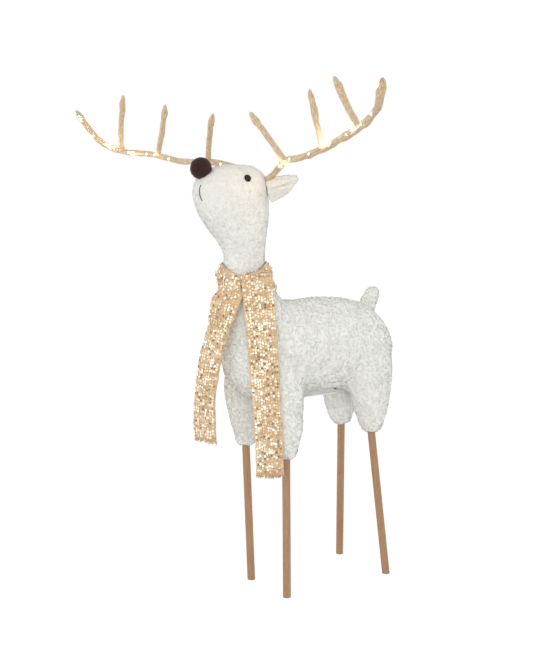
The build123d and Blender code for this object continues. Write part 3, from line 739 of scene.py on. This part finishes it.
body = shell_of(
    "fleece_body", ["torso_cover", "torso_core", "head_cover", "head_core", *HAUNCH_NODES],
    voxel=0.0035, smoothing=9, keep=lambda p: (p[:, 2] < SPLIT_Z + 0.006) & outside_box(p, 0.0005))
soften(body, lambda p: 0.9 * gaussian(p[:, 2] - CREASE_Z, CREASE_REACH), 60)
displace(body, fleece_relief)
finish_piece(body, fleece, ["torso_cover", "torso_core", *HAUNCH_NODES])

head = shell_of("felt_head", ["head_cover", "head_core", "torso_cover", "torso_core"],
                voxel=0.0026, smoothing=6, keep=lambda p: p[:, 2] > SPLIT_Z)
displace(head, felt_relief)
finish_piece(head, felt, ["head_cover", "head_core"])

tail = shell_of("fleece_tail", ["tail"], voxel=0.0026, smoothing=4)
displace(tail, fleece_relief)
finish_piece(tail, fleece, ["tail"])

for part in (1, 2):
    tufts = pile(f"body_pile_{part}", body, 17000, seed=40 + part, **FLEECE_TUFT,
                 accept=lambda p: outside_box(p, 0.001) & (p[:, 2] < SPLIT_Z - 0.004))
    finish_piece(tufts, fleece_pile)
finish_piece(pile("tail_pile", tail, 1100, seed=50, **FLEECE_TUFT), fleece_pile)
head_tufts = pile("head_pile", head, 14000, 0.0024, 0.00062, 51, lean=2.2,
                  accept=lambda p: p[:, 2] > SPLIT_Z + 0.003)
finish_piece(head_tufts, felt_pile)


EAR_ROOT_X, EAR_ROOT_Y, EAR_ROOT_Z = 0.024, HEAD_HIGH.y - 0.016, 0.7065
EAR_LENGTH, EAR_HALF_WIDTH = 0.059, 0.023
EAR_OUT, EAR_BACK, EAR_UP = 0.66, 0.68, 0.33     # direction from its root to its tip


def ear_piece(side_name):
    """A felt leaf with a sewn crease along its middle and softly cupped edges."""
    side = SIDES[side_name]
    ear = shell_of(f"felt_ear_{side_name}", [f"ear_{side_name}"], voxel=0.0014, smoothing=3)
    along = Vector((side * EAR_OUT, EAR_BACK, EAR_UP)).normalized()
    up = (Vector((0, 0, 1)) - along * along.z).normalized()
    face = along.cross(up)
    co = read_verts(ear.data)
    rel = co - np.array(Vector((side * EAR_ROOT_X, EAR_ROOT_Y, EAR_ROOT_Z)))
    u, v, w = (rel @ np.array(axis) for axis in (along, up, face))
    reach = np.clip(u / EAR_LENGTH, 0, 1)
    from_middle = v + 0.0035 * np.sin(math.pi * reach)
    sewn = np.clip((reach - 0.10) * 6, 0, 1) * np.clip((0.86 - reach) * 6, 0, 1)
    pinch = -np.sign(w) * 0.0021 * gaussian(from_middle, 0.0016) * sewn
    cup = -0.0045 * (np.abs(from_middle) / EAR_HALF_WIDTH) ** 2 * side
    puff = np.sign(w) * 0.0008 * gaussian(np.abs(from_middle) - 0.006, 0.004)
    co += np.array(face)[None] * (pinch + cup + puff)[:, None]
    write_verts(ear.data, co)
    displace(ear, felt_relief)
    finish_piece(ear, felt, [f"ear_{side_name}"])
    finish_piece(pile(f"ear_pile_{side_name}", ear, 1300, 0.0024, 0.00042, 60 + side), felt_pile)


for side_name in SIDES:
    ear_piece(side_name)


# ---- Nose and mouth ----------------------------------------------------------------------

NOSE_LOW, NOSE_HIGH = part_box("nose")


def nose_piece():
    """A ball covered in short flock."""
    mesh = bpy.data.meshes.new("flocked_nose")
    bm = bmesh.new()
    bmesh.ops.create_icosphere(bm, subdivisions=5, radius=(NOSE_HIGH.x - NOSE_LOW.x) / 2)
    bm.to_mesh(mesh)
    bm.free()
    nose = bpy.data.objects.new("flocked_nose", mesh)
    bpy.context.scene.collection.objects.link(nose)
    mesh.transform(Matrix.Translation((NOSE_LOW + NOSE_HIGH) / 2))
    mesh.polygons.foreach_set("use_smooth", np.ones(len(mesh.polygons), bool))
    displace(nose, lambda p: 0.0006 * smooth_noise(p, 0.006, 21) + 0.0004 * curls(p, 0.0022, 23) - 0.0009)
    finish_piece(nose, flock, ["nose"])
    finish_piece(pile("nose_pile", nose, 5200, 0.0019, 0.00030, 70, lean=0.5, droop=0.0), flock_pile)


nose_piece()


# ---- Antlers -----------------------------------------------------------------------------

ANTLER_ROOT_Z = 0.703
BEAM = [  # x, y, rise above the root on the left and on the right, in millimetres
    (20, -80, 18, 18), (42, -72, 34, 34), (64, -81, 42, 42), (111, -110.5, 50, 53),
    (172, -121, 54, 50), (240, -134.5, 64, 65), (292, -144, 77, 69), (343, -152.5, 91, 73),
    (388, -171, 102, 88), (417, -183.5, 114, 119), (430, -190.5, 134, 136), (440, -196, 150, 152),
]
FORKS = [3, 5, 7]            # points of the beam that the tines start from
TINE_TIPS = [(55, -134.5, 127, 130), (210, -135.5, 153, 153), (306, -167.5, 163, 174)]
BEAM_RADIUS, TINE_RADIUS, TIP_LENGTH, TINE_BOW = 0.0051, 0.0048, 0.011, 0.0022
RIBBON_TWIST = 14            # radians that the folds turn round the wire in a metre
RIBBON_LUMP, RIBBON_WAIST, RIBBON_FOLD = 0.20, 0.13, 0.75    # shares of the radius


def antler_point(point, side):
    x, y, left_rise, right_rise = point
    rise = left_rise if side > 0 else right_rise
    return np.array((side * x * MM, y * MM, ANTLER_ROOT_Z + rise * MM))


def ribbon_tube(name, line, radius, seed):
    """A wire bound with crinkled ribbon: lengthwise folds, lumps and a pinched tip."""
    rng = np.random.default_rng(seed)
    count, sides = len(line), 18
    run = run_along(line)
    tangent = unit(np.gradient(line, axis=0))
    across = unit(np.cross(tangent, (0.1, 0.2, 1.0)))
    other = np.cross(tangent, across)
    angle = 2 * math.pi * np.arange(sides) / sides
    s, a = np.meshgrid(run, angle, indexing="ij")
    twist = a + s * RIBBON_TWIST + rng.uniform(0, 6)
    ring = np.stack([np.cos(twist) * 0.006, np.sin(twist) * 0.006, s], axis=-1).reshape(-1, 3)
    lumps = smooth_noise(ring * (1, 1, 0.55) + seed, 0.0075, seed).reshape(count, sides)
    waist = smooth_noise(np.stack([run * 0, run * 0, run], axis=1) + seed, 0.019, seed + 1)[:, None]
    folds = 0.10 * np.cos(5 * twist + 1.3 * np.sin(s * 90)) + 0.07 * np.cos(3 * twist + s * 60)
    shape = 1 + RIBBON_LUMP * lumps + RIBBON_WAIST * waist + RIBBON_FOLD * folds
    to_tip = (run[-1] - run)[:, None]
    pinch = 0.30 + 0.70 * np.sqrt(np.clip(to_tip / TIP_LENGTH, 0, 1))
    flare = 1 + 0.20 * gaussian(to_tip - 0.017, 0.007)
    size = radius * shape * pinch * flare
    verts = (line[:, None] + across[:, None] * (np.cos(a) * size)[..., None]
             + other[:, None] * (np.sin(a) * size)[..., None])
    verts = np.vstack([verts.reshape(-1, 3), line[0] - tangent[0] * 0.001, line[-1] + tangent[-1] * 0.0022])
    obj = mesh_object(name, verts, capped_tube(count, sides))
    along = np.concatenate([s.ravel(), [run[0], run[-1]]]) * 40
    half_turn = np.minimum(np.arange(sides), sides - np.arange(sides))
    turn = np.concatenate([np.tile(half_turn, count), [0, 0]]) / sides * 12
    write_uv(obj, "fibre", np.stack([turn, along], axis=1))
    return obj


def antler(side_name):
    """One beam with its three tines, each a little bowed."""
    side = SIDES[side_name]
    line, _ = spline([antler_point(p, side) for p in BEAM], 300)
    beam = ribbon_tube(f"antler_ribbon_{side_name}", line, BEAM_RADIUS, 100 + side)
    finish_piece(beam, ribbon, [f"antler_wrap_{side_name}"])
    for number, (fork, tip) in enumerate(zip(FORKS, TINE_TIPS), 1):
        corner, top = antler_point(BEAM[fork], side), antler_point(tip, side)
        start = line[np.linalg.norm(line - corner, axis=1).argmin()]
        bow = np.cross(top - start, (0, 0.3, 1.0))
        bow = unit(bow) * TINE_BOW * (-1 if number == 2 else 1)
        rail, _ = spline([start, (start + top) / 2 + bow, top], 78)
        tine = ribbon_tube(f"tine_ribbon_{side_name}_{number}", rail, TINE_RADIUS, 110 + 7 * number + side)
        finish_piece(tine, ribbon, [f"tine_wrap_{side_name}_{number}"])


for side_name in SIDES:
    antler(side_name)


# ---- Glints on the antlers ---------------------------------------------------------------

GLOW_COLOUR, GLOW_SIZE, GLOW_LIFT = (1.0, 0.72, 0.36), 0.003, 0.002
GLOWS = {  # glints along the ribbon, listed here and not at the CAD's beads: millimetres, power
    "left": [
        ((111, -117, 742), 0.026), ((80, -96, 738), 0.010), ((250, -142, 776), 0.05),
        ((334, -158, 792), 0.025), ((430, -197, 842), 0.02)],
    "right": [
        ((305, -155, 768), 0.03), ((365, -170, 786), 0.045), ((428, -196, 838), 0.045),
        ((240, -141, 768), 0.008)],
}
for side_name, side in SIDES.items():
    for number, ((x, y, z), power) in enumerate(GLOWS[side_name]):
        place = (side * x * MM, y * MM, z * MM + GLOW_LIFT)
        glow = add_light(f"glow_{side_name}_{number}", "POINT", place, power, GLOW_COLOUR)
        glow.data.shadow_soft_size = GLOW_SIZE


# ---- Scarf -------------------------------------------------------------------------------

NEAR_TAIL = [  # middle line of the end on the deer's left, in millimetres, and its turn
    (35, -108, 553, 62), (37, -110, 567, 62), (51, -119, 570, 62), (54, -121, 550, 63), (62, -120, 510, 65),
    (68, -120, 460, 64), (74, -119, 400, 62), (77, -117, 345, 60), (73, -110, 286, 60), (68, -104, 229, 58),
]
FAR_TAIL = [  # the end that falls over the chest
    (17, -146, 556, 20), (19, -152, 538, 22), (20, -163, 524, 24), (12, -163, 498, 23), (-5, -168, 455, 22),
    (-15, -173, 410, 24), (-22, -177, 353, 24), (-25, -176, 315, 24), (-26, -174, 282, 22),
]
# Width of each end in metres at shares of its length from the turn.
NEAR_WIDTHS = [(0, 0.044), (0.06, 0.048), (0.16, 0.054), (0.5, 0.050), (0.85, 0.046), (1, 0.048)]
FAR_WIDTHS = [
    (0, 0.034), (0.05, 0.044), (0.10, 0.058), (0.16, 0.056), (0.26, 0.049), (0.5, 0.044), (1, 0.044)]
NECK_Y, NECK_HALF_X, NECK_HALF_Y = -0.110, 0.032, 0.036
LOOP_TOP, LOOP_HEIGHT = SEAM_Z + 0.0108, 0.054
LOOP_DIP, LOOP_DIP_ANGLE = 0.026, math.radians(54)     # its top sinks where the near end leaves it
RIB = 0.0031                 # width of one rib of the knit
CLOTH = 0.0034               # thickness of the knit
YARN_WIDTH = 0.05            # what the yarn's pattern spans from edge to edge


def grid_noise(x, y, z, size, seed):
    """Noise from -1 to 1 at the places that three grids give."""
    return smooth_noise(np.stack([x, y, z], axis=-1).reshape(-1, 3), size, seed).reshape(x.shape)


def knit_tube(name, ring, faces, along, ends=()):
    """A flattened tube of knit from its rings of vertices, with the yarn mapped on both its faces."""
    rows, around = ring.shape[:2]
    obj = mesh_object(name, np.vstack([ring.reshape(-1, 3), *ends]), faces)
    over = np.abs(np.arange(around) - around // 2 + 0.5) / (around // 2)
    uv = np.zeros((len(obj.data.vertices), 2))
    uv[:rows * around] = np.stack([np.tile(over, rows) * YARN_WIDTH, np.repeat(along, around)], axis=1)
    write_uv(obj, "yarn", uv)
    return obj


def strip(name, points, widths, seed, rows, curl, hem):
    """A hanging end of the scarf, and its front face: places, outward and sideways directions, length.

    curl turns its edges back, and hem is how unevenly it ends.
    """
    line, length = spline([(*np.array(p[:3]) * MM, math.radians(p[3])) for p in points], rows)
    columns = 72
    share = np.linspace(0, 1, rows)
    width = np.interp(share, *zip(*widths))
    wave = 0.0014 * np.sin(share * 17 + seed)
    vv, ss = np.meshgrid(np.linspace(-1, 1, columns), share, indexing="xy")
    u_dir = np.stack([np.cos(line[:, 3]), np.sin(line[:, 3]), 0 * line[:, 3]], axis=1)
    n_dir = unit(np.cross(np.gradient(line[:, :3], axis=0), u_dir))
    edge = 0.0011 * grid_noise(np.sign(vv), 0 * vv, ss * length, 0.011, seed)
    spread = width[:, None] * (vv / 2) + edge * np.abs(vv) ** 3
    lumps = 0.0016 * grid_noise(spread, ss * length * 0.35, 0 * ss, 0.016, seed + 3)
    lift = lumps + wave[:, None] * vv - curl * np.abs(vv) ** 3 * 0.0022
    ribs = 0.0008 * np.abs(np.cos(math.pi * spread / RIB))
    rim = np.sqrt(np.clip(1 - np.abs(vv) ** 10, 0, 1))
    hem_drop = hem * grid_noise(vv, 0 * vv, 0 * vv, 0.35, seed + 5)
    base = line[:, None, :3] + u_dir[:, None] * spread[..., None]
    base[..., 2] += hem_drop * (ss > 0.9) * (ss - 0.9) * 10
    front = base + n_dir[:, None] * (lift + rim * (CLOTH / 2 + ribs))[..., None]
    rear = base + n_dir[:, None] * (lift - rim * (CLOTH / 2 + 0.5 * ribs))[..., None]
    ring = np.concatenate([front, rear[:, ::-1]], axis=1)
    faces = capped_tube(rows, 2 * columns, turned=True)
    obj = knit_tube(name, ring, faces, np.linspace(0, length, rows), (ring[0].mean(0), ring[-1].mean(0)))
    return obj, (front, n_dir, u_dir, length)


def loop_surface(theta, height):
    """Place on the folded turn: theta round the neck from its front, height 0 low to 1 top."""
    toward = np.cos(theta - LOOP_DIP_ANGLE)
    top = LOOP_TOP - LOOP_DIP * np.clip(toward, 0, 1) ** 2 + 0.004 * np.sin(2 * theta)
    bottom = LOOP_TOP - LOOP_HEIGHT + 0.003 * np.sin(3 * theta + 1)
    z = bottom + (top - bottom) * height
    slope = np.clip((SEAM_Z - z) / 0.039, 0, 1.3)
    swell = np.sqrt(np.clip(1 - (2 * height - 1) ** 4, 0, 1))
    fold = 0.0024 * np.sin(9.5 * height + 2.6 * theta) + 0.0012 * np.sin(17 * height - 3 * theta + 1)
    reach = 0.0028 + 0.0062 * swell + fold * swell
    half_x = NECK_HALF_X + 0.004 * slope + reach
    half_y = NECK_HALF_Y + 0.0075 * slope + reach
    centre_y = NECK_Y + 0.0065 * slope
    x = np.sin(theta) * half_x
    y = centre_y - np.cos(theta) * half_y
    return np.stack([x, y, z], axis=-1)


def loop_piece():
    """The turn around the neck: a folded band with diagonal creases."""
    rows, columns = 260, 46
    theta = np.linspace(0, 2 * math.pi, rows, endpoint=False)
    height = np.linspace(0.0, 1.0, columns)
    tt, hh = np.meshgrid(theta, height, indexing="ij")
    outer = loop_surface(tt, hh)
    out_dir = np.stack([np.sin(tt), -np.cos(tt), 0 * tt], axis=-1)
    rim = np.sqrt(np.clip(1 - np.abs(2 * hh - 1) ** 12, 0, 1))
    ribs = 0.0007 * np.abs(np.cos(math.pi * hh * 0.052 / RIB + 0.8 * np.sin(3 * tt)))
    outer = outer + out_dir * (ribs * rim)[..., None]
    inner = loop_surface(tt, hh) - out_dir * (CLOTH * rim)[..., None]
    ring = np.concatenate([outer, inner[:, ::-1]], axis=1)
    quads = tube_quads(rows, 2 * columns, closed=True)
    faces = np.vstack([quads[:, [0, 1, 2]], quads[:, [0, 2, 3]]])
    return knit_tube("scarf_turn", ring, faces, theta * 0.042)


def discs(name, places, normals, radius, seed):
    """Thin round sequins, each tipped a little its own way."""
    rng = np.random.default_rng(seed)
    n, sides, thick, dish = len(places), 10, 0.00035, 0.0005
    tip = unit(normals + rng.normal(0, 0.12, (n, 3)))
    a = unit(np.cross(tip, (0.0, 0.0, 1.0)))
    b = np.cross(tip, a)
    # shade is each disc's painted brightness; the darkest discs, drawn smaller, are painted shade marks
    # between the sequins.
    shade = rng.random(n)
    size = radius * rng.uniform(0.9, 1.08, n) * np.where(shade < 0.14, 0.6, 1.0)
    rings = []
    for lift, share in ((0.0, 1.0), (thick, 0.96)):
        for k in range(sides):
            angle = 2 * math.pi * k / sides
            arm = math.cos(angle) * a * 0.9 + math.sin(angle) * b
            rings.append(places + tip * lift + arm * (size * share)[:, None])
    rings += [places, places + tip * (thick - dish)]
    bottom, top = 2 * sides, 2 * sides + 1
    pattern = []
    for k in range(sides):
        q = (k + 1) % sides
        pattern += [(bottom, q, k), (top, sides + k, sides + q), (sides + k, k, q), (sides + q, sides + k, q)]
    obj = many(name, rings, pattern, shade)
    obj.data.polygons.foreach_set("use_smooth", np.zeros(len(obj.data.polygons), bool))
    return obj


SEQUIN_RADIUS, SEQUIN_STEP = 0.0025, 0.0048
TURN_BANDS, TURN_STEPS = 9, 58       # rows of sequins on the turn, and places in each
STRIP_BARE, TURN_BARE = 0.24, 0.40   # share of those places left bare


def sequins_on_strip(front_data, seed, width_columns):
    front, n_dir, u_dir, length = front_data
    rng = np.random.default_rng(seed)
    rows, columns = front.shape[:2]
    places, normals = [], []
    down = int(length / SEQUIN_STEP)
    for column in range(width_columns):
        v = (column + 0.5) / width_columns * 2 - 1
        offset = rng.uniform(0, 1)
        for row in range(down):
            share = (row + offset) / down
            if share > 0.985 or share < 0.03 or rng.random() < STRIP_BARE:
                continue
            i = int(share * (rows - 1))
            j = int(((v * 0.93 + rng.normal(0, 0.006)) + 1) / 2 * (columns - 1))
            j = min(max(j, 1), columns - 2)
            places.append(front[i, j] + n_dir[i] * 0.0008)
            normals.append(n_dir[i] + u_dir[i] * v * 0.18 + np.array((0, 0, rng.normal(0.05, 0.11))))
    return np.array(places), np.array(normals)


def sequins_on_loop(seed):
    rng = np.random.default_rng(seed)
    places, normals = [], []
    for band in range(TURN_BANDS):
        height = (band + 0.6) / (TURN_BANDS + 0.4)
        for step in range(TURN_STEPS):
            theta = (step + rng.uniform(0, 0.5)) / TURN_STEPS * 2 * math.pi
            if rng.random() < TURN_BARE:
                continue
            out = np.array((math.sin(theta), -math.cos(theta), 0.0))
            places.append(loop_surface(np.array(theta), np.array(height)) + out * 0.0016)
            normals.append(out + np.array((0, 0, rng.normal(0, 0.2))))
    return np.array(places), np.array(normals)


def fringe(name, front_data, count, seed):
    """Loose yarn ends along the bottom of a strip."""
    front, n_dir, u_dir, _ = front_data
    rng = np.random.default_rng(seed)
    columns = front.shape[1]
    sizes = [0.0008 * share for share in (1, 1, 0.9, 0.5)]     # half thickness from root to tip
    verts, faces = [], []
    for k in range(count):
        j = int((k + rng.uniform(0.1, 0.9)) / count * (columns - 1))
        start = front[-1, j] - n_dir[-1] * CLOTH * rng.uniform(0.1, 0.9)
        drop = rng.uniform(0.003, 0.0065)
        swing = u_dir[-1] * rng.normal(0, 0.0022) + n_dir[-1] * rng.normal(0, 0.0022)
        line = [start + np.array((0, 0, 0.0015)), start + swing * 0.3 - (0, 0, drop * 0.35),
                start + swing * 1.2 - (0, 0, drop * 0.7), start + swing * 0.6 - (0, 0, drop)]
        for place, size in zip(line, sizes):
            for corner in range(4):
                angle = corner * math.pi / 2
                verts.append(place + u_dir[-1] * math.cos(angle) * size + n_dir[-1] * math.sin(angle) * size)
        base = k * 4 * len(sizes)
        for level in range(3):
            for corner in range(4):
                p, q = base + level * 4 + corner, base + level * 4 + (corner + 1) % 4
                faces.append((p, q, q + 4, p + 4))
        faces += [(base + 3, base + 2, base + 1, base), (base + 12, base + 13, base + 14, base + 15)]
    return mesh_object(name, np.array(verts), np.array(faces))


near_end, near_front = strip("scarf_near", NEAR_TAIL, NEAR_WIDTHS, 1, 300, 0.6, 0.0016)
far_end, far_front = strip("scarf_far", FAR_TAIL, FAR_WIDTHS, 2, 240, 0.9, 0.003)
scarf = join("sequin_scarf", [near_end, far_end, loop_piece()])
finish_piece(scarf, knit, ["scarf"])

spots = [sequins_on_strip(near_front, 201, 11), sequins_on_strip(far_front, 202, 9), sequins_on_loop(203)]
places, normals = (np.vstack(parts) for parts in zip(*spots))
sequins = discs("scarf_sequins", places, normals, SEQUIN_RADIUS, 204)
finish_piece(sequins, sequin)
fringes = [fringe("near_fringe", near_front, 60, 205), fringe("far_fringe", far_front, 52, 206)]
threads = join("scarf_fringe", fringes)
finish_piece(threads, knit)


# ---- Carried-over CAD nodes --------------------------------------------------------------

FINISHES = [
    (("leg_", "neck_rod", "nose_peg"), wood),
    (("antler_frame", "contact_", "battery_door_pin", "battery_door_screw"), steel),
    (("led_wire",), copper),
    (("led_beads",), lamp),
    (("antler_sockets", "led_splice", "battery_box", "battery_door", "eye_washers"), white_plastic),
    (("eye_left", "eye_right"), glass_black),
    (("mouth_stitch",), thread),
    (("battery_cells",), foil_cell),
    (("circuit_board",), board_green),
    (("switch_",), black_plastic),
    (("battery_lead",), cable_clear),
]
for node, obj in NODES.items():
    for names, material in FINISHES:
        if node.startswith(names):
            obj.data.materials.clear()
            obj.data.materials.append(material)
            break
